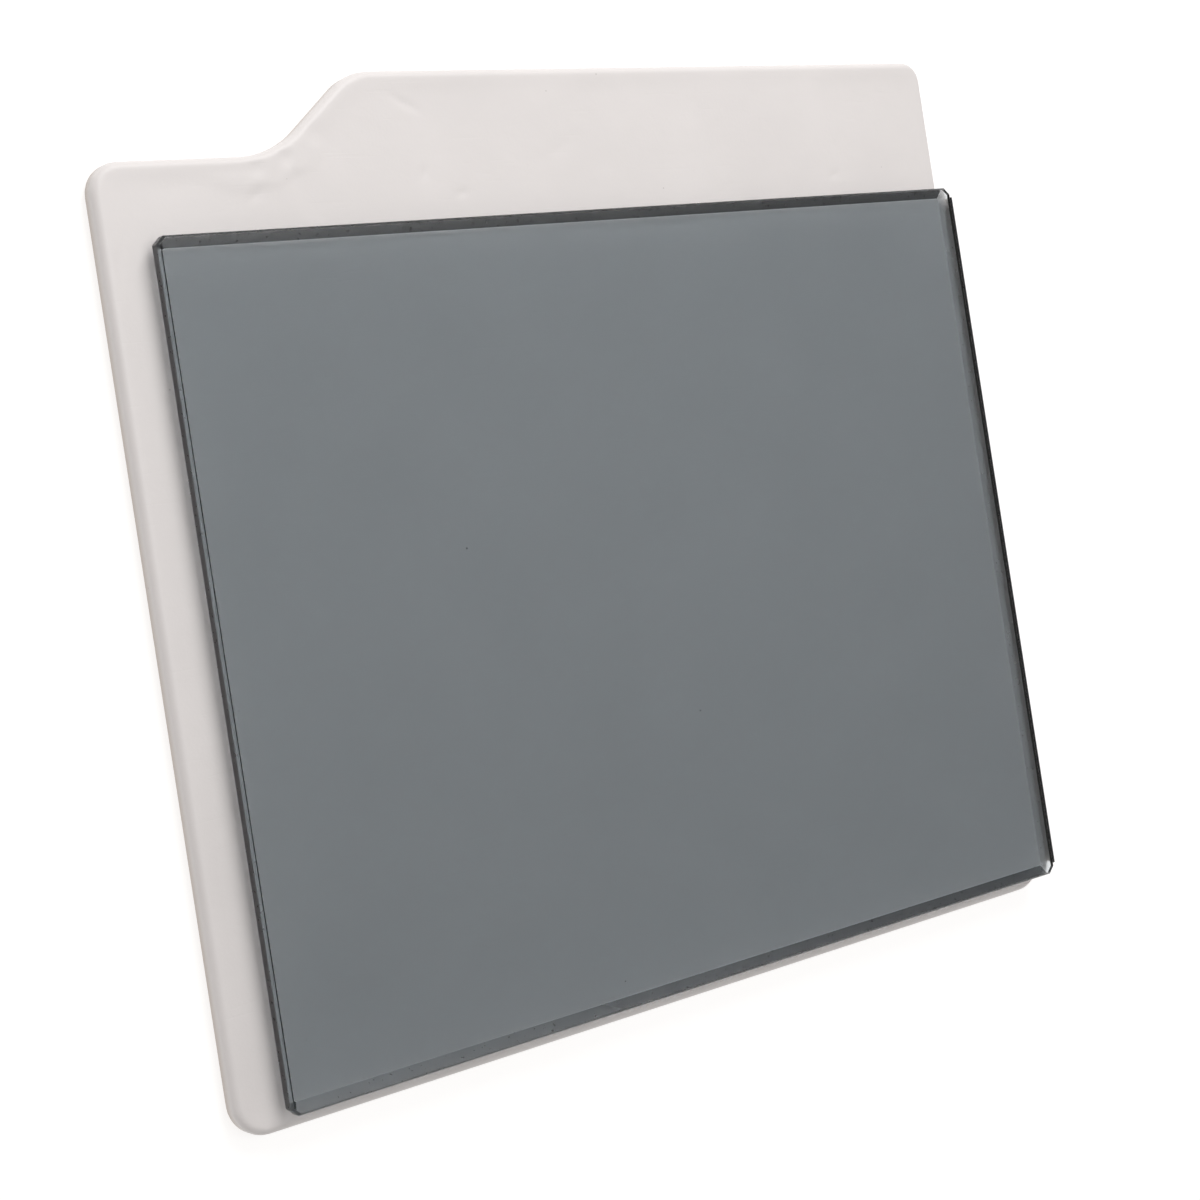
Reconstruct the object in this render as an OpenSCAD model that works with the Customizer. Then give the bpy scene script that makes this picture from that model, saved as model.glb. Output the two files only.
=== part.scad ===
// Book-form glass negative carrier: a white covered base leaf with a finger tab and a
// grey glass leaf that lies on it and opens like a book about the base's right-hand edge.
// +X is to the right, +Y is towards the finger tab and +Z is up, out of the glass.
// The origin is the centre of the outline's bounding box, on the back face.

/* [Base leaf] */
// Width of the base leaf over its cover
base_w = 142; // [138:0.5:160]
// Depth of the base leaf up to the low shoulder beside the tab
shoulder_h = 120.5; // [117:0.5:140]
// Height by which the finger tab stands above the shoulder
tab_rise = 10.7; // [8:0.1:20]
// Thickness of the whole base leaf
base_t = 3.4; // [3.2:0.1:5]
// Thickness of the padded white cover
cover_t = 0.5; // [0.4:0.1:0.8]
// Radius on the covered edges, top and bottom
edge_r = 1.1; // [0.8:0.1:1.3]
// Width of the cover's turned-in edge on the back
turn_in = 6; // [3:0.5:8]

/* [Outline] */
// Corner radius at the bottom left
corner_bl = 4.5; // [2:0.1:8]
// Corner radius at the bottom right
corner_br = 5; // [2:0.1:8]
// Corner radius at the tab's right end
corner_tab = 3; // [2:0.1:6]
// Corner radius of the low shoulder
corner_tl = 4; // [2:0.1:8]
// Distance from the left edge to the start of the curve up to the tab
curve_start = 21; // [15:0.5:60]
// Steepest slope of that curve, in degrees
curve_slope = 40; // [30:1:60]
// Radius of the hollow at the foot of the curve
dip_r = 13; // [8:0.5:14]
// Radius of the crest at the top of the curve
crest_r = 8; // [5:0.5:10]

/* [Glass leaf] */
// Width of the grey glass
glass_w = 135.5; // [130:0.5:136]
// Depth of the grey glass
glass_h = 108.5; // [106:0.5:116]
// Thickness of the grey glass
glass_t = 3; // [2.5:0.1:3.3]
// Bare margin between the glass and the base's bottom edge
bottom_margin = 2; // [1.5:0.1:6]
// Leg of the wide bevel ground on the glass's underside
under_bevel = 1.4; // [0.4:0.1:1.6]
// Leg of the fine bevel round the glass's upper face
top_bevel = 0.3; // [0.1:0.1:0.6]
// Leg of the cut on the glass's four upright corners
corner_cut = 1; // [0.3:0.1:2]
// Air left between the closed glass and the cover
film_gap = 0.1; // [0.05:0.05:0.3]

/* [Window] */
// Width of the clear window, for a sheet film about 127 mm wide
window_w = 119; // [60:1:120]
// Depth of the clear window, for a sheet film about 102 mm deep
window_h = 94; // [60:1:95]
// Thickness of the opal pane
pane_t = 2; // [1.5:0.1:2]
// Width of the pane's edge that rests on the mask frame
pane_lap = 2; // [1.5:0.1:2.5]
// Thickness of the black mask frame
mask_t = 0.45; // [0.3:0.05:0.5]
// Width of the mask frame's own bar
mask_bar = 6; // [5.8:0.1:6.4]

/* [Screws and hinge] */
// Radius of the mask screws' shanks
screw_r = 0.8; // [0.6:0.1:0.9]
// Radius of the mask screws' heads
head_r = 1.3; // [1.1:0.1:1.4]
// Thickness of the cloth hinge strip
strip_t = 0.3; // [0.2:0.05:0.3]
// Thickness of the black adhesive on the glass's edge
adhesive_t = 0.2; // [0.1:0.05:0.3]

/* [Hidden] */
$fn = 64;

// how far a cutting tool runs past the face that it cuts
past = 1;
// degrees between the points of an arc in the outline
arc_step = 9;
// slabs in which the covered edges are eased
ease_steps = 3;
// smallest corner radius of a drawn-in outline
least_r = 0.3;

// the outline's box, centred on the origin
left = -base_w / 2;
right = base_w / 2;
total_h = shoulder_h + tab_rise;
bottom = -total_h / 2;
tab_top = total_h / 2;
shoulder = bottom + shoulder_h;

// heights of the layers, from the back up
lap_t = 0.2;                          // liner under the turned-in cover, and that cover's own edge
core_z = 2 * lap_t;
core_t = base_t - cover_t - core_z;
core_top = core_z + core_t;
core_step = 0.6;
pane_z = core_top - pane_t;
glass_z = base_t + film_gap;
glass_top = glass_z + glass_t;
liner_inset = 1.5;
liner_fit = 0.1;

// the glass, its centre and the window's centre
glass_right = right - strip_t - adhesive_t;
glass_left = glass_right - glass_w;
glass_bottom = bottom + bottom_margin;
glass_mid = [glass_left + glass_w / 2, glass_bottom + glass_h / 2];

// sizes of the pane, its opening and the mask frame
pane_w = window_w + 2 * pane_lap;
pane_h = window_h + 2 * pane_lap;
pane_fit = 0.3;
mask_w = window_w + 2 * mask_bar;
mask_h = window_h + 2 * mask_bar;
mask_fit = 0.2;
mask_corner = 2;

// screws along the middle of the metal between the pane and the frame's edge
screw_x = (mask_w / 2 + pane_w / 2 + pane_fit) / 2 + 0.1;
screw_y = (mask_h / 2 + pane_h / 2 + pane_fit) / 2 + 0.1;
screw_places = [
    for (i = [-1:1], j = [-1:1]) if (i != 0 || j != 0) [i * screw_x, j * screw_y]
];
head_t = 0.35;
hole_fit = 0.1;
screw_bite = 1.4;                     // depth of the thread in the core
slot_w = 0.35;

// the hinge strip, a little shorter than the glass
strip_len = glass_h - 3;
strip_foot = core_z + 0.1;

// points of an arc about c from angle a to angle b, in either direction
function arc(c, r, a, b) =
    let (steps = max(1, ceil(abs(b - a) / arc_step)))
    [for (i = [0:steps]) let (t = a + (b - a) * i / steps) c + r * [cos(t), sin(t)]];

// places on the curve from the shoulder to the tab
dip_centre = [left + curve_start, shoulder + dip_r];
dip_end_x = dip_centre.x + dip_r * sin(curve_slope);
straight_rise = tab_rise - (dip_r + crest_r) * (1 - cos(curve_slope));
crest_start_x = dip_end_x + straight_rise / tan(curve_slope);
crest_centre = [crest_start_x + crest_r * sin(curve_slope), tab_top - crest_r];

// a corner's radius once the outline is drawn in, and how far its centre is from the edges
function drawn_in(r, inset) = max(r - inset, least_r);
function corner_arc(x, y, sx, sy, r, inset, from) =
    let (small = drawn_in(r, inset))
    arc([x - sx * (inset + small), y - sy * (inset + small)], small, from, from + 90);

// the leaf's outline, drawn in by inset all round
function outline(inset) = concat(
    corner_arc(left, bottom, -1, -1, corner_bl, inset, 180),
    corner_arc(right, bottom, 1, -1, corner_br, inset, 270),
    corner_arc(right, tab_top, 1, 1, corner_tab, inset, 0),
    arc(crest_centre, crest_r - inset, 90, 90 + curve_slope),
    arc(dip_centre, dip_r + inset, -90 + curve_slope, -90),
    corner_arc(left, shoulder, -1, 1, corner_tl, inset, 90)
);

// the outline as a slab between two heights
module leaf(inset, low, high) {
    translate([0, 0, low]) linear_extrude(high - low) polygon(outline(inset));
}

// the outline between two heights, with its edges eased in nested slabs
module eased_leaf(low, high) {
    for (i = [0:ease_steps]) {
        angle = 90 * i / ease_steps;
        drop = edge_r * (1 - sin(angle));
        leaf(edge_r * (1 - cos(angle)), low + drop, high - drop);
    }
}

// a block on the window's centre
module window_block(w, h, low, high) {
    translate([glass_mid.x - w / 2, glass_mid.y - h / 2, low]) cube([w, h, high - low]);
}

// the same block with round corners
module round_window_block(w, h, r, low, high) {
    translate([glass_mid.x, glass_mid.y, low])
        linear_extrude(high - low)
            union() {
                square([w - 2 * r, h], center = true);
                square([w, h - 2 * r], center = true);
                for (x = [-1, 1], y = [-1, 1])
                    translate([x * (w / 2 - r), y * (h / 2 - r)]) circle(r);
            }
}

// one of the hinge strip's two leaves, standing on the right-hand edge
module hinge_leaf(low, high) {
    translate([right - strip_t, glass_mid.y - strip_len / 2, low])
        cube([strip_t, strip_len, high - low]);
}

// a ring of cylinders at the screws' places
module at_screws() {
    for (place = screw_places) translate([glass_mid.x + place.x, glass_mid.y + place.y, 0]) children();
}

// the core's own shape, whose edges are stepped back under the cover's round edges
module core_body() {
    leaf(cover_t, core_z + core_step, core_top - core_step);
    leaf(cover_t + core_step, core_z, core_top);
}

// padded white cover: drawn over the front, round the edges and in under the back
module front_cover() {
    color("#e1dbda")
        difference() {
            eased_leaf(lap_t, base_t);
            core_body();
            leaf(turn_in, 0, core_z + lap_t);
            round_window_block(
                mask_w + 2 * mask_fit, mask_h + 2 * mask_fit, mask_corner + mask_fit, 0, core_z + lap_t
            );
            hinge_leaf(-past, base_t + past);
        }
}

// stiff metal plate with the window, a recess for the mask frame and tapped holes
module core_plate() {
    color("#b9bbbe")
        difference() {
            core_body();
            window_block(pane_w + 2 * pane_fit, pane_h + 2 * pane_fit, core_z - past, core_top + past);
            round_window_block(
                mask_w + 2 * mask_fit, mask_h + 2 * mask_fit, mask_corner + mask_fit,
                core_z - past, core_z + mask_t
            );
            at_screws() translate([0, 0, core_z]) cylinder(h = mask_t + screw_bite, r = screw_r);
        }
}

// opal glass pane that fills the window and carries the cover over it
module opal_pane() {
    color("#f3f3ee") window_block(pane_w, pane_h, pane_z, core_top);
}

// black frame that holds the pane from the back and masks the light
module mask_frame() {
    color("#232325")
        difference() {
            round_window_block(mask_w, mask_h, mask_corner, core_z, core_z + mask_t);
            window_block(window_w, window_h, core_z - past, core_z + mask_t + past);
            at_screws() translate([0, 0, core_z - past])
                cylinder(h = mask_t + 2 * past, r = screw_r + hole_fit);
        }
}

// one slotted screw, head down
module mask_screw() {
    difference() {
        union() {
            translate([0, 0, core_z - head_t]) cylinder(h = head_t, r = head_r);
            translate([0, 0, core_z - head_t / 2])
                cylinder(h = head_t / 2 + mask_t + screw_bite - hole_fit, r = screw_r);
        }
        translate([-past - head_r, -slot_w / 2, core_z - head_t - past])
            cube([2 * (head_r + past), slot_w, past + head_t / 2]);
    }
}

// the eight screws of the mask frame
module mask_screws() {
    color("#8f9194") at_screws() mask_screw();
}

// white liner on the back, lapped over the cover's turned-in edge
module back_cover() {
    color("#dcd8d4")
        difference() {
            union() {
                leaf(liner_inset, 0, lap_t);
                leaf(turn_in + liner_fit, lap_t / 2, core_z);
            }
            round_window_block(
                mask_w + 2 * mask_fit, mask_h + 2 * mask_fit, mask_corner + mask_fit, -past, core_z + past
            );
        }
}

// white cloth strip's lower leaf, bonded to the base's right-hand edge
module hinge_strip_base() {
    color("#e4dfdc") hinge_leaf(strip_foot, base_t);
}

// the same strip's upper leaf, inked black, which turns with the glass
module hinge_strip_glass() {
    color("#2b2b2c") hinge_leaf(glass_z, glass_top - top_bevel);
}

// black adhesive between the strip and the glass's edge
module hinge_adhesive() {
    color("#0f0f11")
        translate([glass_right, glass_mid.y - strip_len / 2, glass_z + under_bevel])
            cube([adhesive_t, strip_len, glass_t - under_bevel - top_bevel]);
}

// the glass's eight-sided plan at height z, drawn in by inset all round
function glass_ring(inset, z) =
    let (
        x = glass_w / 2 - inset,
        y = glass_h / 2 - inset,
        cut = corner_cut - inset * (2 - sqrt(2))
    )
    [
        for (p = [
            [x, y - cut], [x - cut, y], [cut - x, y], [-x, y - cut],
            [-x, cut - y], [cut - x, -y], [x - cut, -y], [x, cut - y]
        ]) [glass_mid.x + p.x, glass_mid.y + p.y, z]
    ];

// thick grey glass with a wide bevel below, a fine one above and cut corners
module cover_glass() {
    sides = 8;
    levels = [
        [under_bevel, glass_z],
        [0, glass_z + under_bevel],
        [0, glass_top - top_bevel],
        [top_bevel, glass_top]
    ];
    last = len(levels) - 1;
    color("#75797c", 0.75)
        polyhedron(
            points = [for (level = levels) each glass_ring(level[0], level[1])],
            faces = concat(
                [[for (i = [0:sides - 1]) i]],
                [
                    for (k = [0:last - 1], i = [0:sides - 1])
                        let (low = k * sides, high = low + sides, next = (i + 1) % sides)
                        [low + next, low + i, high + i, high + next]
                ],
                [[for (i = [sides - 1:-1:0]) last * sides + i]]
            )
        );
}

front_cover();
core_plate();
opal_pane();
mask_frame();
mask_screws();
back_cover();
hinge_strip_base();
hinge_strip_glass();
hinge_adhesive();
cover_glass();
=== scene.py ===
"""Looks of a book-form glass negative carrier: a white padded cover with a finger tab,
a bevelled grey glass hinged on a cloth strip, and the opal window and black frame behind."""

import math

import bmesh
import bpy
from bpy.props import FloatProperty, FloatVectorProperty, PointerProperty
from mathutils import Matrix, Vector, noise


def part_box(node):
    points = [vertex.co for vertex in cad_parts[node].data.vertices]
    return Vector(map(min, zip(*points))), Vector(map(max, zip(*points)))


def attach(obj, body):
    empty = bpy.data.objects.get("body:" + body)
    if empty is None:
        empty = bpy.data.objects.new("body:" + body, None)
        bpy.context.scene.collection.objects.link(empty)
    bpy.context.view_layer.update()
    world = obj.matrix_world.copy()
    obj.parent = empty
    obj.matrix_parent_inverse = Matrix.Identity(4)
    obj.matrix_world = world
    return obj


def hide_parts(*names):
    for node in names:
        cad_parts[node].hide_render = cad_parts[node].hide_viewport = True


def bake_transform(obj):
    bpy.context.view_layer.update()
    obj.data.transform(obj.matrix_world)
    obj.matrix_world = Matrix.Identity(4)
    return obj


bl_info = {
    "name": "Glass negative carrier",
    "version": (1, 0, 0),
    "blender": (4, 5, 0),
    "location": "View3D > Sidebar > Carrier",
    "description": "Builds the cover, glass, hinge strip and back of a glass negative carrier",
    "category": "Add Mesh",
}

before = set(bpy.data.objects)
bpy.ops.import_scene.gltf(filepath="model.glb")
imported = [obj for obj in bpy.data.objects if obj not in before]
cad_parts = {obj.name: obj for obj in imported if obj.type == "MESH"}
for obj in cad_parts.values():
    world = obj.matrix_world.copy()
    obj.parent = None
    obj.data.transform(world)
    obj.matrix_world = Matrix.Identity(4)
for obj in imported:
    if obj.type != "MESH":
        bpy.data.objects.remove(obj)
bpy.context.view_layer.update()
MM = 0.001
TINY = 1e-5

COVER_LOW, COVER_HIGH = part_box("front_cover")
GLASS_LOW, GLASS_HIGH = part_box("cover_glass")
GLUE_LOW, GLUE_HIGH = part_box("hinge_adhesive")
STRIP_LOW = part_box("hinge_strip_base")[0]
STRIP_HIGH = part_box("hinge_strip_glass")[1]
MASK_LOW, MASK_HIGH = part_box("mask_frame")

# camera and lights: places and sizes in metres, the sensor's width in millimetres
CAMERA_PLACE = (-0.1855, 0.0049, 0.2563)
CAMERA_TARGET = (-0.0032, 0.0049, 0.0034)
SENSOR_WIDTH = 36
KEY_PLACE = (0.05, 0.4, 0.38)
KEY_TARGET = (0.0, -0.01, 0)
KEY_SIZE = 0.3
OVERHEAD_PLACE = (-0.02, 0.06, 0.5)
OVERHEAD_TARGET = (0.0, 0.03, 0)
OVERHEAD_SIZE = 0.25


def linear(hex_colour, alpha=1.0):
    """A linear colour from an sRGB hex value."""
    parts = [int(hex_colour[i:i + 2], 16) / 255 for i in (1, 3, 5)]
    flat = tuple(p / 12.92 if p <= 0.04045 else ((p + 0.055) / 1.055) ** 2.4 for p in parts)
    return flat + (alpha,)


# ---------------------------------------------------------------- settings


def length(name, description, default_mm, low_mm=0.0, high_mm=200.0):
    """A length property, given in millimetres and held in metres."""
    return FloatProperty(
        name=name, description=description, default=default_mm * MM,
        min=low_mm * MM, max=high_mm * MM, unit="LENGTH", precision=5,
    )


def tint(name, description, hex_colour):
    """A colour property, given as an sRGB hex value."""
    return FloatVectorProperty(
        name=name, description=description, default=linear(hex_colour),
        size=4, min=0.0, max=1.0, subtype="COLOR",
    )


class CarrierCoverSettings(bpy.types.PropertyGroup):
    """Shape and colour of the white padded cover."""
    tab_rise: length("Tab rise", "Height of the finger tab above the shoulder", 10.7)
    curve_start: length("Curve start", "From the left edge to the start of the curve", 21)
    dip_radius: length("Dip radius", "Radius at the foot of the curve", 13)
    crest_radius: length("Crest radius", "Radius at the top of the curve", 8)
    slope: FloatProperty(
        name="Slope", description="Steepest slope of the curve up to the tab",
        default=math.radians(40), min=0.3, max=1.2, subtype="ANGLE",
    )
    corner_bottom_left: length("Bottom left", "Corner radius at the bottom left", 4.5)
    corner_bottom_right: length("Bottom right", "Corner radius at the bottom right", 5)
    corner_tab: length("Tab corner", "Corner radius at the tab's right end", 3)
    corner_shoulder: length("Shoulder corner", "Corner radius of the low shoulder", 4)
    edge_radius: length("Edge radius", "Radius of the padded edges", 1.1)
    skin: length("Skin", "Thickness of the cover's sheet", 0.2)
    turn_in: length("Turn-in", "Width of the sheet turned in on the back", 6)
    wrinkle: length("Wrinkle", "Height of the creases in the hollow of the curve", 0.34)
    sag: length("Sag", "Depth of the padding's slow unevenness", 0.15)
    colour: tint("Colour", "Colour of the white cover", "#e3dedc")


class CarrierGlassSettings(bpy.types.PropertyGroup):
    """Shape and tint of the bevelled grey glass."""
    under_bevel: length("Under bevel", "Leg of the wide bevel on the underside", 1.4)
    top_bevel: length("Top bevel", "Leg of the fine bevel round the upper face", 0.3)
    corner_cut: length("Corner cut", "Leg of the cut on the upright corners", 1)
    arris: length("Arris", "Width of the polished line along every edge", 0.03)
    ground: FloatProperty(
        name="Ground edge", description="Roughness of the ground edges and bevels",
        default=0.3, min=0, max=1,
    )
    tint: tint("Tint", "What the glass lets through of white light", "#c3cfd5")
    density: FloatProperty(
        name="Density", description="Strength of the tint, per metre",
        default=260, min=0, max=4000,
    )


class CarrierHingeSettings(bpy.types.PropertyGroup):
    """The cloth strip of the hinge: white, and inked black where it is bonded to the glass."""
    fold: length("Fold", "Height over which the strip bends", 0.3)
    white: tint("White", "Colour of the cloth", "#e6e1dc")
    ink: tint("Ink", "Colour of the inked cloth", "#3c3c3f")


class CarrierBackSettings(bpy.types.PropertyGroup):
    """Finishes of the pieces on the back."""
    bevel: length("Bevel", "Width of the eased edges of sheet metal and card", 0.08)
    frame_colour: tint("Frame", "Colour of the black lacquer", "#222224")
    liner_colour: tint("Liner", "Colour of the lining card", "#ddd9d4")
    opal_colour: tint("Opal", "Colour of the opal pane", "#f4f4ef")


class CarrierStageSettings(bpy.types.PropertyGroup):
    """Camera, lights and floor."""
    lens: FloatProperty(
        name="Lens", description="Focal length on a 36 mm wide sensor", default=67.5, min=20, max=200,
    )
    shift: FloatProperty(
        name="Shift", description="Vertical shift, which keeps the sides parallel",
        default=-0.0832, min=-0.2, max=0.2,
    )
    roll: FloatProperty(
        name="Roll", description="Turn of the camera about its line of sight",
        default=math.radians(-8.81), min=-3.2, max=3.2, subtype="ANGLE",
    )
    room: FloatProperty(
        name="Room", description="Strength of the soft light from all round", default=0.39,
        min=0, max=2,
    )
    key_watts: FloatProperty(
        name="Key", description="Power of the light on the tab's side", default=1.85, min=0, max=20,
    )
    overhead_watts: FloatProperty(
        name="Overhead", description="Power of the light straight above", default=0.55, min=0, max=20,
    )
    floor_colour: tint("Floor", "Colour of the floor", "#fbfaf9")
    floor_glow: FloatProperty(
        name="Floor glow", description="Light that comes through the floor", default=0.84, min=0, max=2,
    )


# ---------------------------------------------------------------- modelling helpers


def alone(piece):
    """Make one object the only selected and the active one."""
    if bpy.context.object and bpy.context.object.mode != "OBJECT":
        bpy.ops.object.mode_set(mode="OBJECT")
    bpy.ops.object.select_all(action="DESELECT")
    piece.select_set(True)
    bpy.context.view_layer.objects.active = piece


def block(name, low, high):
    """A box between two corners, with its place in its mesh."""
    bpy.ops.object.select_all(action="DESELECT")
    bpy.ops.mesh.primitive_cube_add(size=1, location=(Vector(low) + Vector(high)) / 2)
    piece = bpy.context.object
    piece.name = piece.data.name = name
    piece.scale = Vector(high) - Vector(low)
    bpy.ops.object.transform_apply(location=True, rotation=True, scale=True)
    return piece


def edit(piece):
    """Open a piece in edit mode with nothing selected."""
    alone(piece)
    bpy.ops.object.mode_set(mode="EDIT")
    bpy.ops.mesh.select_all(action="DESELECT")


def done():
    """Leave edit mode."""
    bpy.ops.object.mode_set(mode="OBJECT")


def pick(piece, kind, test):
    """Select only the verts, edges or faces of the open piece that pass a test."""
    bpy.ops.mesh.select_all(action="DESELECT")
    bpy.ops.mesh.select_mode(type={"verts": "VERT", "edges": "EDGE", "faces": "FACE"}[kind])
    mesh = bmesh.from_edit_mesh(piece.data)
    for part in getattr(mesh, kind):
        if test(part):
            part.select_set(True)
    bmesh.update_edit_mesh(piece.data)


def upright_at(x, y):
    """A test for the upright edge at one place."""
    return lambda e: all(abs(v.co.x - x) < TINY and abs(v.co.y - y) < TINY for v in e.verts)


def level_at(z):
    """A test for edges that lie at one height."""
    return lambda e: all(abs(v.co.z - z) < TINY for v in e.verts)


def slice_at(axis, place):
    """Cut the selected faces along a plane across one axis."""
    point = Vector((0, 0, 0))
    point[axis] = place
    normal = Vector((0, 0, 0))
    normal[axis] = 1
    bpy.ops.mesh.bisect(plane_co=point, plane_no=normal)


def use(piece, kind, name, **settings):
    """Add a modifier with its settings and apply it."""
    alone(piece)
    modifier = piece.modifiers.new(name, kind)
    for key, value in settings.items():
        setattr(modifier, key, value)
    bpy.ops.object.modifier_apply(modifier=modifier.name)


def smooth(piece, degrees=30):
    """Smooth shading that keeps edges sharper than an angle."""
    alone(piece)
    bpy.ops.object.shade_smooth_by_angle(angle=math.radians(degrees))


def merged_copy(node, name):
    """A copy of a CAD node with its corners merged and its flat faces made whole."""
    alone(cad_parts[node])
    bpy.ops.object.duplicate(linked=False)
    piece = bpy.context.object
    piece.parent = None
    piece.name = piece.data.name = name
    edit(piece)
    bpy.ops.mesh.select_all(action="SELECT")
    bpy.ops.mesh.remove_doubles(threshold=1e-6)
    bpy.ops.mesh.dissolve_limited(angle_limit=math.radians(1))
    done()
    return piece


def dress(piece, *materials):
    """Give a piece its materials, in the order of its slots."""
    piece.data.materials.clear()
    for material in materials:
        piece.data.materials.append(material)


# ---------------------------------------------------------------- material helpers


def add(tree, kind, links=None, **settings):
    """Add a shader node; settings go to its properties or sockets, links to its sockets."""
    node = tree.nodes.new(kind)
    for key, value in settings.items():
        if hasattr(node, key):
            setattr(node, key, value)
        else:
            node.inputs[key.replace("_", " ")].default_value = value
    for socket, source in (links or {}).items():
        tree.links.new(source, node.inputs[socket])
    return node


def new_material(name):
    """A material with its node tree, its Principled shader and its output."""
    material = bpy.data.materials.new(name)
    material.use_nodes = True
    tree = material.node_tree
    return material, tree, tree.nodes["Principled BSDF"], tree.nodes["Material Output"]


def set_sockets(shader, **values):
    """Set plain numbers and colours on a shader's sockets."""
    for key, value in values.items():
        shader.inputs[key.replace("_", " ")].default_value = value


def spaced(low, high, gap):
    """Evenly spaced places between two ends, without the ends."""
    count = max(1, round((high - low) / gap))
    return [low + (high - low) * i / count for i in range(1, count)]


def per_mm(size_mm):
    """Noise scale for a feature of a size in millimetres."""
    return 1 / (size_mm * MM)


def wave_scale(gap_mm):
    """Wave texture scale for bands or rings a gap in millimetres apart."""
    return math.tau / 20 / (gap_mm * MM)


# ---------------------------------------------------------------- materials


def padded_vinyl(settings):
    """White padded vinyl, embossed with a fine leather grain: satin, with a few hairline
    scratches and specks, and painted tan shade along the foot of its edges."""
    material, tree, shader, _ = new_material("padded_vinyl")
    place = add(tree, "ShaderNodeTexCoord").outputs["Object"]
    cloud = add(tree, "ShaderNodeTexNoise", {"Vector": place}, Scale=per_mm(14), Detail=3.0)
    white = tuple(settings.colour)
    dull = tuple(c * 0.93 for c in white[:3]) + (1.0,)
    base = add(tree, "ShaderNodeMix", {"Factor": cloud.outputs["Fac"]}, data_type="RGBA")
    base.inputs["A"].default_value = dull
    base.inputs["B"].default_value = white
    split = add(tree, "ShaderNodeSeparateXYZ", {"Vector": place})
    # painted shade: the colour turns tan towards the foot of the edges, below 2.6 mm, where shade falls
    # near the floor
    foot = add(
        tree, "ShaderNodeMapRange", {"Value": split.outputs["Z"]},
        From_Min=0.5 * MM, From_Max=2.6 * MM, To_Min=0.8, To_Max=0.0,
    )
    foot_shade = add(
        tree, "ShaderNodeMix", {"Factor": foot.outputs["Result"], "A": base.outputs["Result"]},
        data_type="RGBA",
    )
    foot_shade.inputs["B"].default_value = linear("#a99887")
    specks = add(tree, "ShaderNodeTexVoronoi", {"Vector": place}, Scale=per_mm(5))
    near = add(
        tree, "ShaderNodeMapRange", {"Value": specks.outputs["Distance"]},
        From_Min=0.012, From_Max=0.03, To_Min=0.4, To_Max=0.0,
    )
    speckled = add(
        tree, "ShaderNodeMix", {"Factor": near.outputs["Result"], "A": foot_shade.outputs["Result"]},
        data_type="RGBA",
    )
    speckled.inputs["B"].default_value = linear("#8d857d")
    tree.links.new(speckled.outputs["Result"], shader.inputs["Base Color"])
    gloss = add(
        tree, "ShaderNodeMapRange", {"Value": cloud.outputs["Fac"]},
        From_Min=0.3, From_Max=0.7, To_Min=0.42, To_Max=0.52,
    )
    tree.links.new(gloss.outputs["Result"], shader.inputs["Roughness"])
    grain = add(tree, "ShaderNodeTexVoronoi", {"Vector": place}, Scale=per_mm(0.4), feature="F1")
    emboss = add(
        tree, "ShaderNodeBump", {"Height": grain.outputs["Distance"]}, Strength=0.25,
        Distance=0.02 * MM,
    )
    turned = add(
        tree, "ShaderNodeMapping", {"Vector": place}, Rotation=(0, 0, math.radians(28)),
        Scale=(1.0, 14.0, 1.0),
    )
    streak = add(
        tree, "ShaderNodeTexNoise", {"Vector": turned.outputs["Vector"]}, Scale=per_mm(9), Detail=1.0,
    )
    hairline = add(
        tree, "ShaderNodeMapRange", {"Value": streak.outputs["Fac"]},
        From_Min=0.69, From_Max=0.72, To_Min=0.0, To_Max=1.0,
    )
    scratched = add(
        tree, "ShaderNodeBump",
        {"Height": hairline.outputs["Result"], "Normal": emboss.outputs["Normal"]},
        Strength=0.35, Distance=0.015 * MM, invert=True,
    )
    pucker = add(tree, "ShaderNodeTexNoise", {"Vector": place}, Scale=per_mm(2.6), Detail=2.0)
    soft = add(
        tree, "ShaderNodeBump",
        {"Height": pucker.outputs["Fac"], "Normal": scratched.outputs["Normal"]},
        Strength=0.3, Distance=0.12 * MM,
    )
    tree.links.new(soft.outputs["Normal"], shader.inputs["Normal"])
    return material


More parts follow.
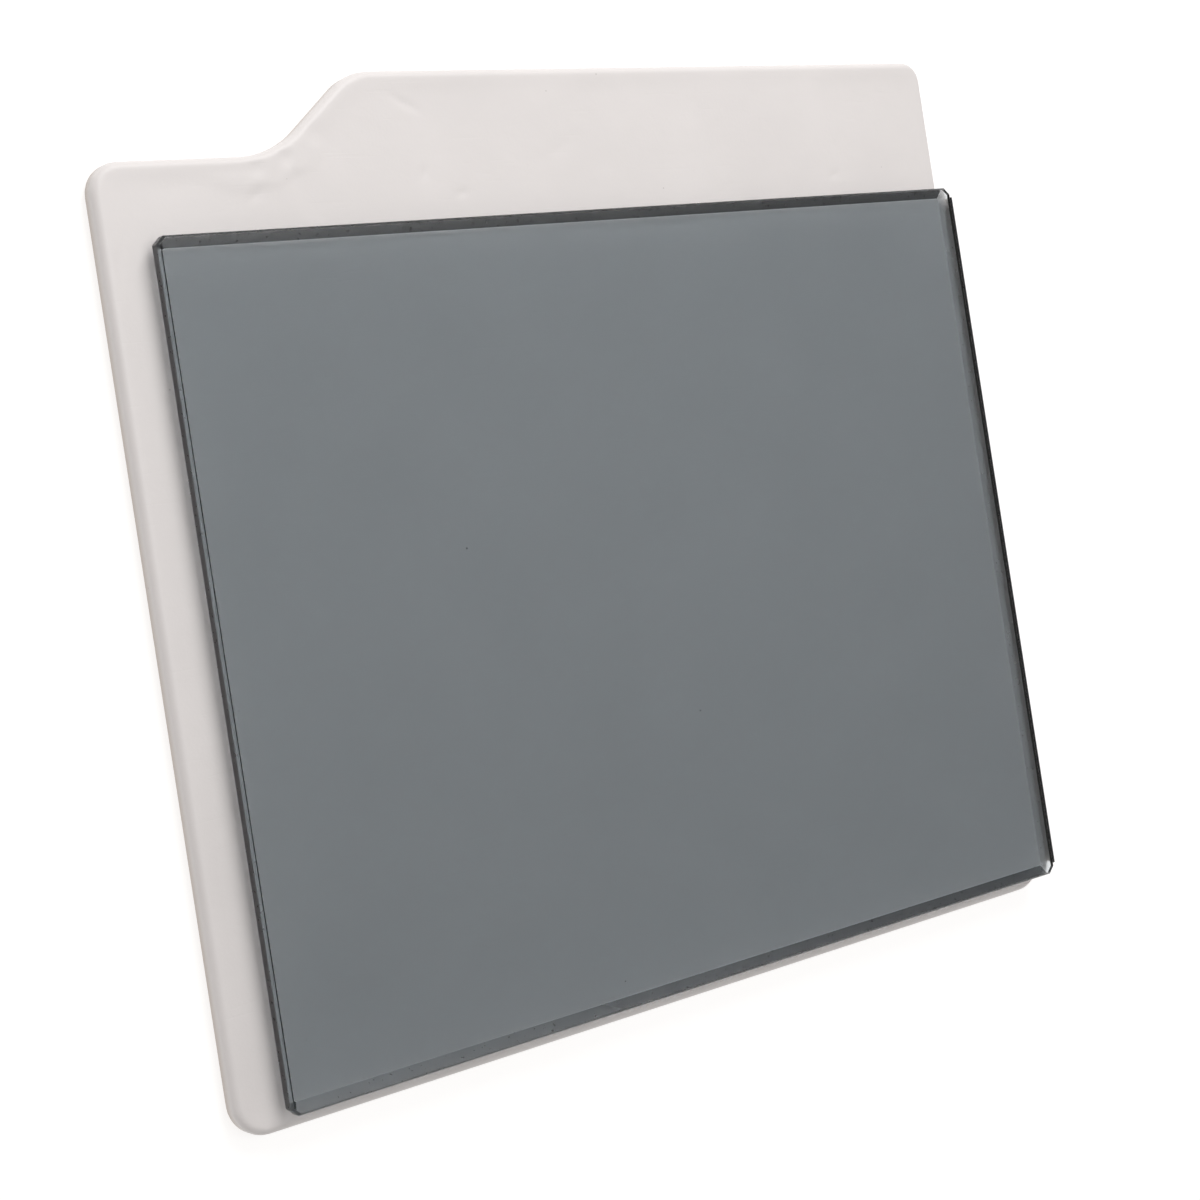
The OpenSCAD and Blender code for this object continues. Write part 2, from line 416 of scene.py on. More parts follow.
def grey_glass(settings):
    """Neutral grey float glass: clear faces that darken what lies under them, edges and
    bevels ground to a satin, and a few specks of dust on the face."""
    material, tree, shader, output = new_material("grey_float_glass")
    set_sockets(shader, IOR=1.52, Transmission_Weight=1.0)
    coordinates = add(tree, "ShaderNodeTexCoord")
    place = coordinates.outputs["Object"]
    facing = add(tree, "ShaderNodeSeparateXYZ", {"Vector": coordinates.outputs["Normal"]})
    level = add(tree, "ShaderNodeMath", {0: facing.outputs["Z"]}, operation="ABSOLUTE")
    edge = add(tree, "ShaderNodeMath", {0: level.outputs["Value"]}, operation="LESS_THAN")
    edge.inputs[1].default_value = 0.98
    grit = add(tree, "ShaderNodeTexNoise", {"Vector": place}, Scale=per_mm(0.6), Detail=3.0)
    ground = add(
        tree, "ShaderNodeMapRange", {"Value": grit.outputs["Fac"]},
        From_Min=0.3, From_Max=0.7, To_Min=settings.ground * 0.9, To_Max=settings.ground * 1.1,
    )
    rough = add(
        tree, "ShaderNodeMath", {0: edge.outputs["Value"], 1: ground.outputs["Result"]},
        operation="MULTIPLY",
    )
    tree.links.new(rough.outputs["Value"], shader.inputs["Roughness"])
    dust = add(tree, "ShaderNodeTexVoronoi", {"Vector": place}, Scale=per_mm(17))
    speck = add(
        tree, "ShaderNodeMapRange", {"Value": dust.outputs["Distance"]},
        From_Min=0.008, From_Max=0.012, To_Min=1.0, To_Max=0.0,
    )
    face = add(tree, "ShaderNodeMix", {"Factor": speck.outputs["Result"]}, data_type="RGBA")
    face.inputs["A"].default_value = (1.0, 1.0, 1.0, 1.0)
    face.inputs["B"].default_value = linear("#8a8a86")
    tree.links.new(face.outputs["Result"], shader.inputs["Base Color"])
    tree.links.new(
        add(tree, "ShaderNodeVolumeAbsorption", Color=tuple(settings.tint), Density=settings.density)
        .outputs["Volume"],
        output.inputs["Volume"],
    )
    return material


def bonded_black():
    """Black adhesive seen through the glass that it is wetted to: dead black, no gloss."""
    material, tree, shader, _ = new_material("bonded_black_adhesive")
    place = add(tree, "ShaderNodeTexCoord").outputs["Object"]
    cloud = add(tree, "ShaderNodeTexNoise", {"Vector": place}, Scale=per_mm(1.5), Detail=2.0)
    tone = add(tree, "ShaderNodeMix", {"Factor": cloud.outputs["Fac"]}, data_type="RGBA")
    tone.inputs["A"].default_value = linear("#0b0b0c")
    tone.inputs["B"].default_value = linear("#141415")
    tree.links.new(tone.outputs["Result"], shader.inputs["Base Color"])
    set_sockets(shader, Roughness=0.8, Specular_IOR_Level=0.2)
    bump = add(
        tree, "ShaderNodeBump", {"Height": cloud.outputs["Fac"]}, Strength=0.3, Distance=0.03 * MM,
    )
    tree.links.new(bump.outputs["Normal"], shader.inputs["Normal"])
    return material


def book_cloth(name, colour):
    """Bookbinding cloth: a plain weave of cotton, starched, with a dry face.

    Its threads lie about 0.3 mm apart, which is too fine to show, so they are drawn coarser.
    """
    material, tree, shader, _ = new_material(name)
    place = add(tree, "ShaderNodeTexCoord").outputs["Object"]
    threads = wave_scale(1.1781)
    warp = add(
        tree, "ShaderNodeTexWave", {"Vector": place}, Scale=threads, bands_direction="Y",
        Distortion=0.6,
    )
    weft = add(
        tree, "ShaderNodeTexWave", {"Vector": place}, Scale=threads, bands_direction="Z",
        Distortion=0.6,
    )
    weave = add(
        tree, "ShaderNodeMath", {0: warp.outputs["Fac"], 1: weft.outputs["Fac"]}, operation="MULTIPLY",
    )
    fluff = add(tree, "ShaderNodeTexNoise", {"Vector": place}, Scale=per_mm(0.8), Detail=4.0)
    tone = add(tree, "ShaderNodeMix", {"Factor": fluff.outputs["Fac"]}, data_type="RGBA")
    tone.inputs["A"].default_value = tuple(c * 0.85 for c in colour[:3]) + (1.0,)
    tone.inputs["B"].default_value = tuple(colour)
    tree.links.new(tone.outputs["Result"], shader.inputs["Base Color"])
    set_sockets(shader, Roughness=0.85, Specular_IOR_Level=0.3)
    bump = add(
        tree, "ShaderNodeBump", {"Height": weave.outputs["Value"]}, Strength=0.6, Distance=0.06 * MM,
    )
    tree.links.new(bump.outputs["Normal"], shader.inputs["Normal"])
    return material


def rolled_aluminium():
    """Mill-finish aluminium sheet: pale metal with fine lines along the way it was rolled."""
    material, tree, shader, _ = new_material("rolled_aluminium")
    place = add(tree, "ShaderNodeTexCoord").outputs["Object"]
    drawn = add(tree, "ShaderNodeMapping", {"Vector": place}, Scale=(0.03, 1.0, 1.0))
    lines = add(tree, "ShaderNodeTexNoise", {"Vector": drawn.outputs["Vector"]}, Scale=per_mm(0.2))
    tone = add(tree, "ShaderNodeMix", {"Factor": lines.outputs["Fac"]}, data_type="RGBA")
    tone.inputs["A"].default_value = linear("#b4b6b9")
    tone.inputs["B"].default_value = linear("#cfd1d3")
    tree.links.new(tone.outputs["Result"], shader.inputs["Base Color"])
    rough = add(
        tree, "ShaderNodeMapRange", {"Value": lines.outputs["Fac"]}, To_Min=0.28, To_Max=0.42,
    )
    tree.links.new(rough.outputs["Result"], shader.inputs["Roughness"])
    set_sockets(shader, Metallic=1.0)
    bump = add(
        tree, "ShaderNodeBump", {"Height": lines.outputs["Fac"]}, Strength=0.2, Distance=0.01 * MM,
    )
    tree.links.new(bump.outputs["Normal"], shader.inputs["Normal"])
    return material


def flashed_opal(settings):
    """Flashed opal glass: milk white and glossy, with a faint unevenness of the flashing."""
    material, tree, shader, _ = new_material("flashed_opal_glass")
    place = add(tree, "ShaderNodeTexCoord").outputs["Object"]
    cloud = add(tree, "ShaderNodeTexNoise", {"Vector": place}, Scale=per_mm(22), Detail=2.0)
    tone = add(tree, "ShaderNodeMix", {"Factor": cloud.outputs["Fac"]}, data_type="RGBA")
    tone.inputs["A"].default_value = tuple(c * 0.95 for c in settings.opal_colour[:3]) + (1.0,)
    tone.inputs["B"].default_value = tuple(settings.opal_colour)
    tree.links.new(tone.outputs["Result"], shader.inputs["Base Color"])
    set_sockets(shader, Roughness=0.08, IOR=1.52)
    wave = add(tree, "ShaderNodeTexNoise", {"Vector": place}, Scale=per_mm(9))
    bump = add(
        tree, "ShaderNodeBump", {"Height": wave.outputs["Fac"]}, Strength=0.15, Distance=0.05 * MM,
    )
    tree.links.new(bump.outputs["Normal"], shader.inputs["Normal"])
    return material


def black_lacquer(settings):
    """Matte black stoving lacquer on sheet metal: a fine orange peel, rubbed grey in places."""
    material, tree, shader, _ = new_material("black_stoving_lacquer")
    place = add(tree, "ShaderNodeTexCoord").outputs["Object"]
    rub = add(tree, "ShaderNodeTexNoise", {"Vector": place}, Scale=per_mm(11), Detail=5.0)
    worn = add(
        tree, "ShaderNodeMapRange", {"Value": rub.outputs["Fac"]},
        From_Min=0.55, From_Max=0.75, To_Min=0.0, To_Max=0.6,
    )
    tone = add(tree, "ShaderNodeMix", {"Factor": worn.outputs["Result"]}, data_type="RGBA")
    tone.inputs["A"].default_value = tuple(settings.frame_colour)
    tone.inputs["B"].default_value = linear("#3b3b3e")
    tree.links.new(tone.outputs["Result"], shader.inputs["Base Color"])
    rough = add(
        tree, "ShaderNodeMapRange", {"Value": rub.outputs["Fac"]},
        From_Min=0.3, From_Max=0.7, To_Min=0.6, To_Max=0.45,
    )
    tree.links.new(rough.outputs["Result"], shader.inputs["Roughness"])
    peel = add(tree, "ShaderNodeTexNoise", {"Vector": place}, Scale=per_mm(0.5), Detail=2.0)
    bump = add(
        tree, "ShaderNodeBump", {"Height": peel.outputs["Fac"]}, Strength=0.35, Distance=0.03 * MM,
    )
    tree.links.new(bump.outputs["Normal"], shader.inputs["Normal"])
    return material


def turned_steel(middle_of_screws, pitch):
    """Bright turned screw steel: fine rings round each screw's own middle.

    Real tool marks lie about 0.1 mm apart, which is too fine to show, so they are drawn coarser.
    """
    material, tree, shader, _ = new_material("turned_screw_steel")
    place = add(tree, "ShaderNodeTexCoord").outputs["Object"]
    moved = add(tree, "ShaderNodeVectorMath", {0: place}, operation="SUBTRACT")
    moved.inputs[1].default_value = middle_of_screws
    counted = add(tree, "ShaderNodeVectorMath", {0: moved.outputs["Vector"]}, operation="DIVIDE")
    counted.inputs[1].default_value = pitch
    half = add(tree, "ShaderNodeVectorMath", {0: counted.outputs["Vector"]}, operation="ADD")
    half.inputs[1].default_value = (0.5, 0.5, 0.5)
    nearest = add(tree, "ShaderNodeVectorMath", {0: half.outputs["Vector"]}, operation="FLOOR")
    centre = add(tree, "ShaderNodeVectorMath", {0: nearest.outputs["Vector"]}, operation="MULTIPLY")
    centre.inputs[1].default_value = pitch
    local = add(
        tree, "ShaderNodeVectorMath", {0: moved.outputs["Vector"], 1: centre.outputs["Vector"]},
        operation="SUBTRACT",
    )
    rings = add(
        tree, "ShaderNodeTexWave", {"Vector": local.outputs["Vector"]}, wave_type="RINGS",
        rings_direction="Z", Scale=wave_scale(0.754), Distortion=0.3,
    )
    tone = add(tree, "ShaderNodeMix", {"Factor": rings.outputs["Fac"]}, data_type="RGBA")
    tone.inputs["A"].default_value = linear("#8d9094")
    tone.inputs["B"].default_value = linear("#b6b9bc")
    tree.links.new(tone.outputs["Result"], shader.inputs["Base Color"])
    set_sockets(shader, Metallic=1.0, Roughness=0.3)
    bump = add(
        tree, "ShaderNodeBump", {"Height": rings.outputs["Fac"]}, Strength=0.3, Distance=0.01 * MM,
    )
    tree.links.new(bump.outputs["Normal"], shader.inputs["Normal"])
    return material


def lining_card(settings):
    """White lining card, calendered: matte, with short fibres and a little foxing."""
    material, tree, shader, _ = new_material("white_lining_card")
    place = add(tree, "ShaderNodeTexCoord").outputs["Object"]
    fibres = add(tree, "ShaderNodeTexNoise", {"Vector": place}, Scale=per_mm(0.7), Detail=6.0)
    foxing = add(tree, "ShaderNodeTexNoise", {"Vector": place}, Scale=per_mm(30), Detail=4.0)
    stain = add(
        tree, "ShaderNodeMapRange", {"Value": foxing.outputs["Fac"]},
        From_Min=0.5, From_Max=0.8, To_Min=0.0, To_Max=0.5,
    )
    clean = add(tree, "ShaderNodeMix", {"Factor": fibres.outputs["Fac"]}, data_type="RGBA")
    clean.inputs["A"].default_value = tuple(c * 0.9 for c in settings.liner_colour[:3]) + (1.0,)
    clean.inputs["B"].default_value = tuple(settings.liner_colour)
    aged = add(
        tree, "ShaderNodeMix", {"Factor": stain.outputs["Result"], "A": clean.outputs["Result"]},
        data_type="RGBA",
    )
    aged.inputs["B"].default_value = linear("#cfc2ae")
    tree.links.new(aged.outputs["Result"], shader.inputs["Base Color"])
    set_sockets(shader, Roughness=0.78, Specular_IOR_Level=0.3)
    bump = add(
        tree, "ShaderNodeBump", {"Height": fibres.outputs["Fac"]}, Strength=0.35, Distance=0.03 * MM,
    )
    tree.links.new(bump.outputs["Normal"], shader.inputs["Normal"])
    return material


def pale_floor(settings):
    """Thin pale paper lit from behind: it stays white all over, and as it lets most light
    through, it gives back only a third of what falls on it."""
    material, _, shader, _ = new_material("backlit_paper")
    share = 0.32
    given_back = tuple(c * share for c in settings.floor_colour[:3]) + (1.0,)
    set_sockets(
        shader, Base_Color=given_back, Roughness=0.9, Specular_IOR_Level=0.1,
        Emission_Color=tuple(settings.floor_colour), Emission_Strength=settings.floor_glow,
    )
    return material


# ---------------------------------------------------------------- shape of the cover


def cover_top(x, s):
    """Height in Y of the cover's top edge at x: shoulder, hollow, slope, crest and tab."""
    left, top = COVER_LOW.x, COVER_HIGH.y
    shoulder = top - s.tab_rise
    dip_x, dip_y = left + s.curve_start, shoulder + s.dip_radius
    dip_end = dip_x + s.dip_radius * math.sin(s.slope)
    bends = (s.dip_radius + s.crest_radius) * (1 - math.cos(s.slope))
    crest_start = dip_end + (s.tab_rise - bends) / math.tan(s.slope)
    crest_x, crest_y = crest_start + s.crest_radius * math.sin(s.slope), top - s.crest_radius
    if x < dip_x:
        return shoulder
    if x < dip_end:
        return dip_y - math.sqrt(s.dip_radius ** 2 - (x - dip_x) ** 2)
    if x < crest_start:
        foot_y = dip_y - s.dip_radius * math.cos(s.slope)
        return foot_y + (x - dip_end) * math.tan(s.slope)
    if x < crest_x:
        return crest_y + math.sqrt(s.crest_radius ** 2 - (x - crest_x) ** 2)
    return top


def edge_distance(x, y, s):
    """How far a place on the cover is from its nearest edge, near enough."""
    reach = 1.5 * MM
    rise = (cover_top(x + reach, s) - cover_top(x - reach, s)) / (2 * reach)
    top = (cover_top(x, s) - y) / math.sqrt(1 + rise * rise)
    return min(x - COVER_LOW.x, COVER_HIGH.x - x, y - COVER_LOW.y, top)


def step(value, low, high):
    """Smooth step from 0 at low to 1 at high."""
    t = min(1.0, max(0.0, (value - low) / (high - low)))
    return t * t * (3 - 2 * t)


def bump(x, y, at, along, wide, long):
    """A soft spot with its long side along an angle."""
    dx, dy = x - at[0] * MM, y - at[1] * MM
    u = (dx * math.cos(along) + dy * math.sin(along)) / (long * MM)
    v = (dy * math.cos(along) - dx * math.sin(along)) / (wide * MM)
    return math.exp(-u * u - v * v)


# knocks in the padding: place, angle, width, length and depth, in millimetres and degrees
KNOCKS = (
    ((-24.8, 61.0), -28, 0.45, 2.2, 0.16),
    ((-23.4, 51.6), 80, 0.5, 0.9, 0.11),
    ((-17.9, 48.7), 12, 0.4, 1.0, 0.12),
    ((-49.1, 49.6), 30, 0.5, 1.1, 0.09),
    ((-69.0, 42.1), 85, 0.4, 1.3, 0.14),
    ((49.7, 48.4), 20, 0.45, 0.9, 0.1),
    ((-60.5, 51.5), 5, 1.6, 6.0, 0.05),
    ((-1.0, 54.0), 25, 1.0, 3.0, 0.05),
)
# creases round the hollow of the curve: angle about its centre, spread, reach and height
CREASES = (
    (-84, 5, 5.0, 0.8),
    (-74, 3, 3.5, -0.9),
    (-66, 4, 5.5, 0.9),
    (-55, 4, 4.5, -0.8),
    (-44, 5, 5.0, 0.6),
)


def cover_dip(x, y, s):
    """How far the padding lies below its highest plane at a place."""
    distance = edge_distance(x, y, s)
    slow = noise.noise(Vector((x, y, 0)) / (13 * MM))
    fine = noise.noise(Vector((x, y, 9)) / (4.5 * MM))
    dip = s.sag * (0.55 + 0.45 * slow + 0.12 * fine)
    dip *= step(distance, 0.8 * MM, 3.6 * MM)
    for at, angle, wide, long, depth in KNOCKS:
        dip += depth * MM * bump(x, y, at, math.radians(angle), wide, long)
    dip_x, dip_y = COVER_LOW.x + s.curve_start, COVER_HIGH.y - s.tab_rise + s.dip_radius
    away = math.hypot(x - dip_x, y - dip_y) - s.dip_radius
    angle = math.degrees(math.atan2(y - dip_y, x - dip_x))
    for at, spread, far, height in CREASES:
        crease = math.exp(-((angle - at) / spread) ** 2) * math.exp(-max(away, 0) / (far * MM))
        dip += s.wrinkle * height * crease * step(away, 0.3 * MM, 1.6 * MM) * 0.6
    ridge_place, ridge_width = 3.4 * MM, 0.9 * MM
    ridge = math.exp(-((away - ridge_place) / ridge_width) ** 2) * step(angle, -118, -84)
    dip -= s.wrinkle * 0.5 * ridge * step(-angle, 40, 56)
    return max(dip, 0.0)


# ---------------------------------------------------------------- operators


class CARRIER_OT_cover(bpy.types.Operator):
    """Model the padded white cover, from a plain block to its creased and turned-in skin"""
    bl_idname = "carrier.cover"
    bl_label = "Padded cover"

    def execute(self, context):
        s = context.scene.carrier_cover
        shoulder = COVER_HIGH.y - s.tab_rise
        piece = block("padded_cover", COVER_LOW, (COVER_HIGH.x, shoulder, COVER_HIGH.z))
        foot = COVER_LOW.x + s.curve_start + s.dip_radius * math.tan(s.slope / 2)
        head = foot + s.tab_rise / math.tan(s.slope)
        self.raise_tab(piece, foot, head, shoulder, s)
        self.round_corners(piece, foot, head, shoulder, s)
        self.cut_grid(piece)
        self.open_back(piece, s, shoulder)
        use(piece, "SUBSURF", "Soft", levels=1, render_levels=1)
        self.settle_padding(piece, s)
        use(piece, "SOLIDIFY", "Skin", thickness=s.skin, offset=-1.0, use_rim=True)
        smooth(piece, 50)
        dress(piece, padded_vinyl(s))
        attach(piece, "base_leaf")
        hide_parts("front_cover")
        return {"FINISHED"}

    def raise_tab(self, piece, foot, head, shoulder, s):
        """Extrude the finger tab from the block, with a sloping side."""
        edit(piece)
        for place in (foot, head):
            bpy.ops.mesh.select_all(action="SELECT")
            slice_at(0, place)
        pick(piece, "faces", lambda f: f.normal.y > 0.9 and f.calc_center_median().x > foot)
        bpy.ops.mesh.extrude_region_move(TRANSFORM_OT_translate={"value": (0, s.tab_rise, 0)})
        pick(piece, "verts", lambda v: v.co.y > shoulder + TINY and v.co.x < foot + TINY)
        bpy.ops.transform.translate(value=(head - foot, 0, 0))
        bpy.ops.mesh.select_all(action="SELECT")
        bpy.ops.mesh.remove_doubles(threshold=TINY)
        bpy.ops.mesh.dissolve_limited(angle_limit=math.radians(1))
        done()

    def round_corners(self, piece, foot, head, shoulder, s):
        """Round the upright corners, then the edges of the front and the back."""
        ease = math.tan(s.slope / 2)
        few = 8
        corners = (
            (COVER_LOW.x, COVER_LOW.y, s.corner_bottom_left, few),
            (COVER_HIGH.x, COVER_LOW.y, s.corner_bottom_right, few),
            (COVER_HIGH.x, COVER_HIGH.y, s.corner_tab, few),
            (COVER_LOW.x, shoulder, s.corner_shoulder, few),
            (foot, shoulder, s.dip_radius * ease, 12),
            (head, COVER_HIGH.y, s.crest_radius * ease, 10),
        )
        edit(piece)
        for x, y, reach, segments in corners:
            pick(piece, "edges", upright_at(x, y))
            bpy.ops.mesh.bevel(offset=reach, segments=segments, affect="EDGES")
        for z in (COVER_HIGH.z, COVER_LOW.z):
            pick(piece, "edges", level_at(z))
            bpy.ops.mesh.bevel(offset=s.edge_radius, segments=6, affect="EDGES")
        done()

    def cut_grid(self, piece):
        """Cut the cover into small cells, finest where it shows round the glass."""
        fine, coarse = 0.95 * MM, 4 * MM
        edit(piece)
        under, beside = 2 * MM, 0.4 * MM
        edge_x, edge_y = GLASS_LOW.x + under, GLASS_HIGH.y - under
        ends = [STRIP_LOW.y - beside, STRIP_LOW.y, STRIP_HIGH.y, STRIP_HIGH.y + beside]
        for place in ends + spaced(COVER_LOW.y, edge_y, coarse):
            bpy.ops.mesh.select_all(action="SELECT")
            slice_at(1, place)
        for place in spaced(edge_x, COVER_HIGH.x, coarse):
            bpy.ops.mesh.select_all(action="SELECT")
            slice_at(0, place)
        for place in spaced(COVER_LOW.x, edge_x, fine):
            bpy.ops.mesh.select_all(action="SELECT")
            slice_at(0, place)
        pick(piece, "faces", lambda f: f.calc_center_median().y < edge_y)
        bpy.ops.mesh.hide()
        for place in spaced(edge_y, COVER_HIGH.y, fine):
            bpy.ops.mesh.select_all(action="SELECT")
            slice_at(1, place)
        for place in spaced(edge_x, COVER_HIGH.x, fine):
            bpy.ops.mesh.select_all(action="SELECT")
            slice_at(0, place)
        bpy.ops.mesh.reveal(select=False)
        done()

    def open_back(self, piece, s, shoulder):
        """Open the back inside the turned-in edge, where the core and the mask frame lie."""
        edit(piece)
        fit = 0.2 * MM
        inner = (
            (COVER_LOW.x + s.turn_in, MASK_HIGH.x + fit, MASK_LOW.y - fit, shoulder - s.turn_in),
            (COVER_LOW.x + 2 * s.curve_start, COVER_HIGH.x - s.turn_in,
             shoulder - s.turn_in, COVER_HIGH.y - s.turn_in),
        )
        for low_x, high_x, low_y, high_y in inner:
            for axis, place in ((0, low_x), (0, high_x), (1, low_y), (1, high_y)):
                pick(piece, "faces", lambda f: f.normal.z < -0.99)
                slice_at(axis, place)

        def inside(face):
            c = face.calc_center_median()
            return face.normal.z < -0.99 and any(
                a < c.x < b and d < c.y < e for a, b, d, e in inner
            )

        pick(piece, "faces", inside)
        bpy.ops.mesh.delete(type="FACE")
        done()

    def settle_padding(self, piece, s):
        """Let the padding sink between its edges, crease it, and press the hinge's strip in."""
        bed = STRIP_LOW.x - 0.01 * MM
        facing = [vertex.normal.z for vertex in piece.data.vertices]
        for vertex, up in zip(piece.data.vertices, facing):
            x, y, z = vertex.co
            if up > 0.05:
                vertex.co.z = z - cover_dip(x, y, s) * step(up, 0.05, 0.8)
            if x > bed and STRIP_LOW.y - 0.1 * MM < y < STRIP_HIGH.y + 0.1 * MM:
                vertex.co.x = bed
        piece.data.update()


class CARRIER_OT_glass(bpy.types.Operator):
    """Model the thick grey glass, with its bevels, its cut corners and its black bonded edge"""
    bl_idname = "carrier.glass"
    bl_label = "Grey glass"

    def execute(self, context):
        s = context.scene.carrier_glass
        piece = block("bevelled_glass", GLASS_LOW, GLASS_HIGH)
        edit(piece)
        corners = [(x, y) for x in (GLASS_LOW.x, GLASS_HIGH.x) for y in (GLASS_LOW.y, GLASS_HIGH.y)]
        for x, y in corners:
            pick(piece, "edges", upright_at(x, y))
            bpy.ops.mesh.bevel(offset=s.corner_cut, segments=1, affect="EDGES")
        for z, leg in ((GLASS_LOW.z, s.under_bevel), (GLASS_HIGH.z, s.top_bevel)):
            pick(piece, "edges", level_at(z))
            bpy.ops.mesh.bevel(offset=leg, segments=1, affect="EDGES")
        done()
        use(
            piece, "BEVEL", "Arris", width=s.arris, segments=1, limit_method="ANGLE",
            angle_limit=math.radians(20),
        )
        dress(piece, grey_glass(s), bonded_black())
        for face in piece.data.polygons:
            if face.normal.x > 0.99:
                face.material_index = 1
        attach(piece, "glass_leaf")
        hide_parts("cover_glass")
        return {"FINISHED"}


class CARRIER_OT_hinge(bpy.types.Operator):
    """Model the cloth strip that joins the glass to the base, and dress its adhesive"""
    bl_idname = "carrier.hinge"
    bl_label = "Cloth hinge"

    def execute(self, context):
        s = context.scene.carrier_hinge
        piece = block("hinge_cloth", STRIP_LOW, STRIP_HIGH)
        edit(piece)
        for place in spaced(STRIP_LOW.y, STRIP_HIGH.y, 1.5 * MM):
            bpy.ops.mesh.select_all(action="SELECT")
            slice_at(1, place)
        for place in spaced(STRIP_LOW.z, STRIP_HIGH.z, 0.15 * MM):
            bpy.ops.mesh.select_all(action="SELECT")
            slice_at(2, place)
        done()
        use(
            piece, "BEVEL", "Soft edge", width=0.07 * MM, segments=3, limit_method="ANGLE",
            angle_limit=math.radians(40),
        )
        smooth(piece, 60)
        dress(piece, book_cloth("white_book_cloth", s.white), book_cloth("inked_book_cloth", s.ink))
        for face in piece.data.polygons:
            face.material_index = 1 if face.center.z > GLUE_LOW.z else 0
        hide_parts("hinge_strip_base", "hinge_strip_glass")
        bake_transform(piece)
        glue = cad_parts["hinge_adhesive"]
        dress(glue, bonded_black())
        return {"FINISHED"}


class CARRIER_OT_back(bpy.types.Operator):
    """Ease and dress the black frame, its screws and the liner, and dress the pane and the core"""
    bl_idname = "carrier.back"
    bl_label = "Back and window"

    def execute(self, context):
        s = context.scene.carrier_back
        screws_low, screws_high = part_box("mask_screws")
        head_radius = 1.3 * MM
        mid = (screws_low + screws_high) / 2
        pitch = (screws_high - screws_low) / 2 - Vector((head_radius, head_radius, 0))
        pitch.z = 1.0
        mid.z = 0.0
        pieces = (
            ("mask_frame", "eased_mask_frame", black_lacquer(s), "black_metal", s.bevel),
            ("mask_screws", "slotted_screws", turned_steel(mid, pitch), "screw_steel", s.bevel / 2),
            ("back_cover", "card_liner", lining_card(s), "white_liner", s.bevel / 2),
        )
        for node, name, material, slot, width in pieces:
            piece = merged_copy(node, name)
            use(
                piece, "BEVEL", "Eased edge", width=width, segments=2, limit_method="ANGLE",
                angle_limit=math.radians(50),
            )
            smooth(piece, 35)
            dress(piece, material)
            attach(piece, "base_leaf")
            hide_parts(node)
        dress(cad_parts["opal_pane"], flashed_opal(s))
        dress(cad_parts["core_plate"], rolled_aluminium())
        return {"FINISHED"}


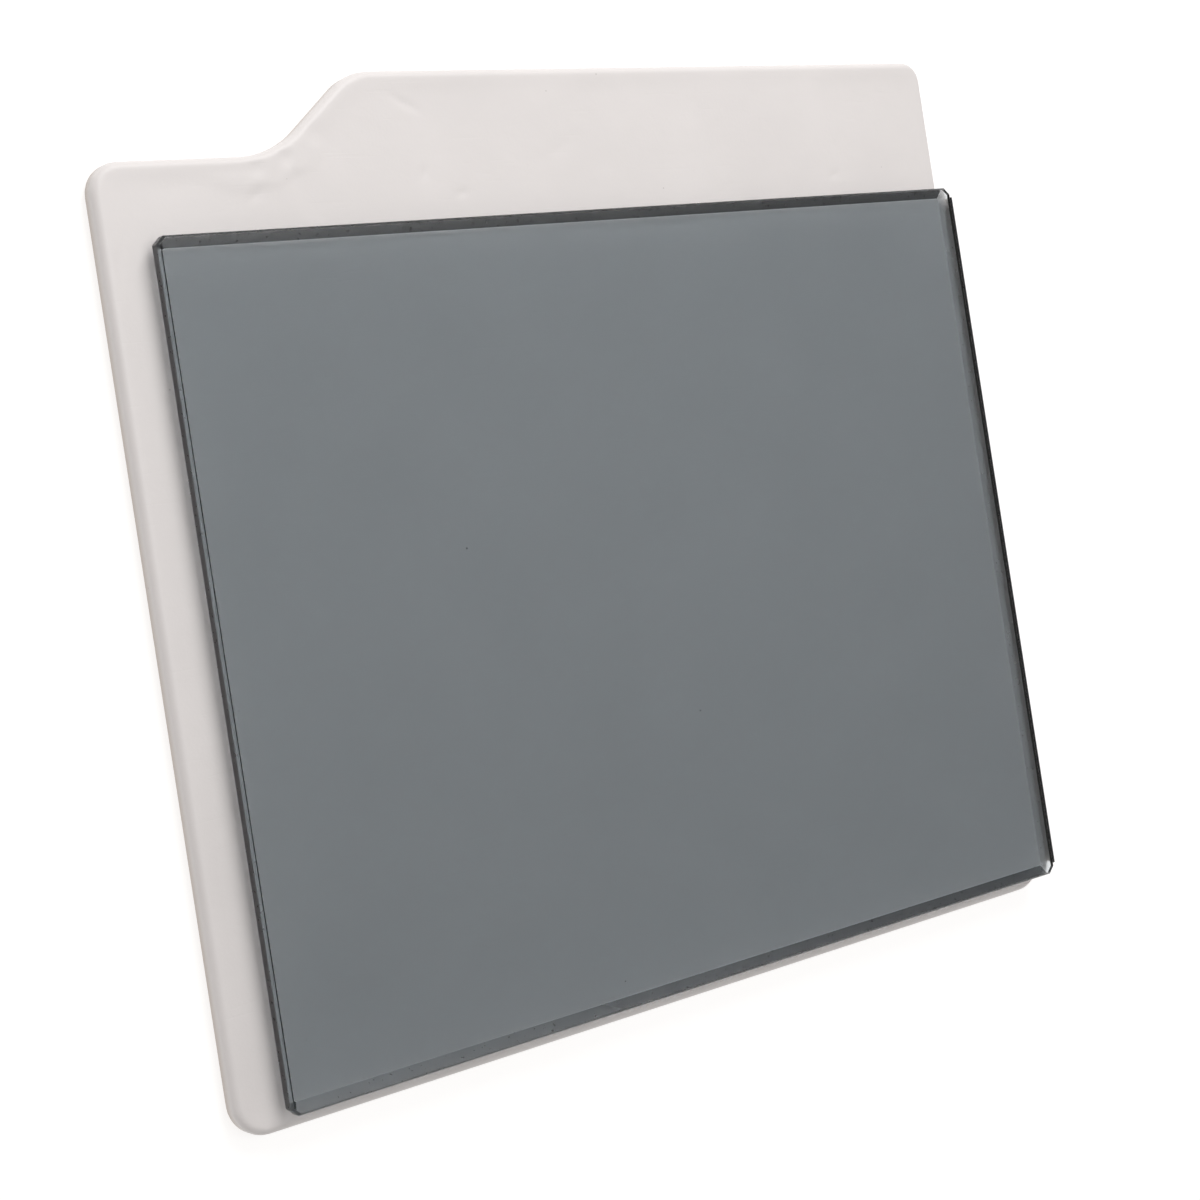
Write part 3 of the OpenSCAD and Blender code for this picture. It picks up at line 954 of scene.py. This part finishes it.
class CARRIER_OT_stage(bpy.types.Operator):
    """Set the pale floor, the soft lights and the camera"""
    bl_idname = "carrier.stage"
    bl_label = "Stage"

    def execute(self, context):
        s = context.scene.carrier_stage
        bpy.ops.object.select_all(action="DESELECT")
        bpy.ops.mesh.primitive_plane_add(size=6, location=(0, 0, -0.02 * MM))
        floor = bpy.context.object
        floor.name = floor.data.name = "floor"
        dress(floor, pale_floor(s))
        world = bpy.data.worlds.new("soft_room")
        context.scene.world = world
        world.use_nodes = True
        sky = world.node_tree.nodes["Background"]
        set_sockets(sky, Color=linear("#fbf9f8"), Strength=s.room)
        self.area_light("key", KEY_PLACE, KEY_TARGET, KEY_SIZE, s.key_watts)
        self.area_light("overhead", OVERHEAD_PLACE, OVERHEAD_TARGET, OVERHEAD_SIZE, s.overhead_watts)
        self.camera(context, s)
        context.scene.view_settings.view_transform = "Standard"
        return {"FINISHED"}

    def area_light(self, name, place, target, size, watts):
        """Add a square area light that faces a point."""
        bpy.ops.object.light_add(type="AREA", location=place)
        lamp = bpy.context.object
        lamp.name = name
        lamp.data.size = size
        lamp.data.energy = watts
        lamp.rotation_euler = (Vector(target) - Vector(place)).to_track_quat("-Z", "Y").to_euler()

    def camera(self, context, s):
        """Aim the camera down at the glass from the left, with +Y up the picture."""
        place, target = Vector(CAMERA_PLACE), Vector(CAMERA_TARGET)
        ahead = (target - place).normalized()
        right = ahead.cross(Vector((0, 1, 0))).normalized()
        up = right.cross(ahead)
        turn = Matrix((right, up, -ahead)).transposed() @ Matrix.Rotation(s.roll, 3, "Z")
        bpy.ops.object.camera_add(location=place, rotation=turn.to_euler())
        camera = bpy.context.object
        camera.data.lens = s.lens
        camera.data.sensor_width = SENSOR_WIDTH
        camera.data.shift_y = s.shift
        camera.data.clip_start = 0.001
        context.scene.camera = camera


class CARRIER_PT_panel(bpy.types.Panel):
    """Settings and steps of the negative carrier"""
    bl_idname = "CARRIER_PT_panel"
    bl_label = "Negative carrier"
    bl_space_type = "VIEW_3D"
    bl_region_type = "UI"
    bl_category = "Carrier"

    def draw(self, context):
        for name, operator in STEPS:
            column = self.layout.column(align=True)
            settings = getattr(context.scene, name)
            for key in type(settings).__annotations__:
                column.prop(settings, key)
            column.operator(operator.bl_idname)


GROUPS = {
    "carrier_cover": CarrierCoverSettings,
    "carrier_glass": CarrierGlassSettings,
    "carrier_hinge": CarrierHingeSettings,
    "carrier_back": CarrierBackSettings,
    "carrier_stage": CarrierStageSettings,
}
STEPS = (
    ("carrier_cover", CARRIER_OT_cover),
    ("carrier_glass", CARRIER_OT_glass),
    ("carrier_hinge", CARRIER_OT_hinge),
    ("carrier_back", CARRIER_OT_back),
    ("carrier_stage", CARRIER_OT_stage),
)
CLASSES = (*GROUPS.values(), *(operator for _, operator in STEPS), CARRIER_PT_panel)


def register():
    for item in CLASSES:
        bpy.utils.register_class(item)
    for name, group in GROUPS.items():
        setattr(bpy.types.Scene, name, PointerProperty(type=group))


def unregister():
    for name in GROUPS:
        delattr(bpy.types.Scene, name)
    for item in reversed(CLASSES):
        bpy.utils.unregister_class(item)


def main():
    register()
    for step_name in ("cover", "glass", "hinge", "back", "stage"):
        getattr(bpy.ops.carrier, step_name)()


if __name__ == "__main__":
    main()
